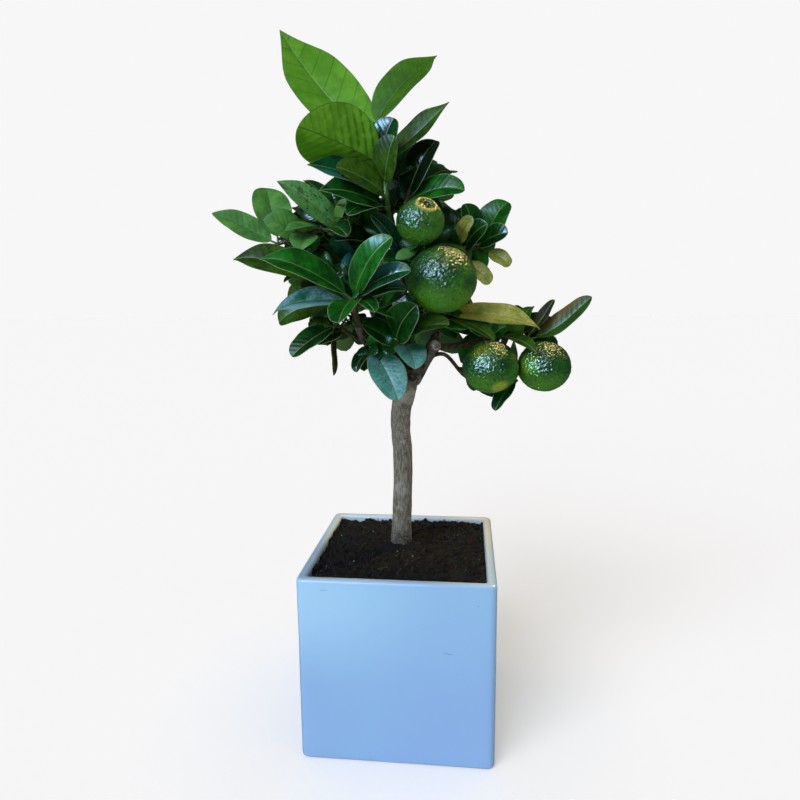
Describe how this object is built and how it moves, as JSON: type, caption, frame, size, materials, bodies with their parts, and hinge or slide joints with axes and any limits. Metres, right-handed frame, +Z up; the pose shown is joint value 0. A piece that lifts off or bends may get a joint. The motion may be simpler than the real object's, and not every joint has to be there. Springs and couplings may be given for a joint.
{
  "type": "potted rangpur lime tree",
  "caption": "Small citrus tree with a slim bare trunk, a loose crown of glossy leaves and green fruits, growing in a square glazed pot.",
  "frame": {"origin": "middle of the pot's flat underside", "axes": "+Z up along the trunk, -Y towards the front, where four fruits show, +X to the right"},
  "size_m": [0.305, 0.2549, 0.5989],
  "materials": {
    "pot_glaze": "gloss",
    "soil": "matte",
    "bark": "matte",
    "foliage": "satin",
    "young_foliage": "satin",
    "fruit_peel": "satin"
  },
  "bodies": {
    "root": {"pot": "pot_glaze", "soil": "soil", "trunk": "bark", "bough_left": "bark", "bough_right": "bark", "leader": "bark", "bough_left_high": "bark", "bough_right_high": "bark", "bough_back_left": "bark", "bough_back_right": "bark", "bough_back_high": "bark", "leaves_top": "young_foliage", "leaves_top_right": "foliage", "leaves_left_high": "foliage", "leaves_left_front": "foliage", "leaves_left_mid": "foliage", "leaves_left_low": "foliage", "leaves_low_front": "foliage", "leaves_centre": "foliage", "leaves_fruit_pair": "foliage", "leaves_shelf": "foliage", "leaves_right_high": "foliage", "leaves_right_low": "foliage", "leaves_droop": "foliage", "leaves_back_left": "foliage", "leaves_back_right": "foliage", "leaves_back_high": "foliage", "leaves_inner_left": "foliage", "leaves_back_low": "foliage"}
  },
  "joints": []
}
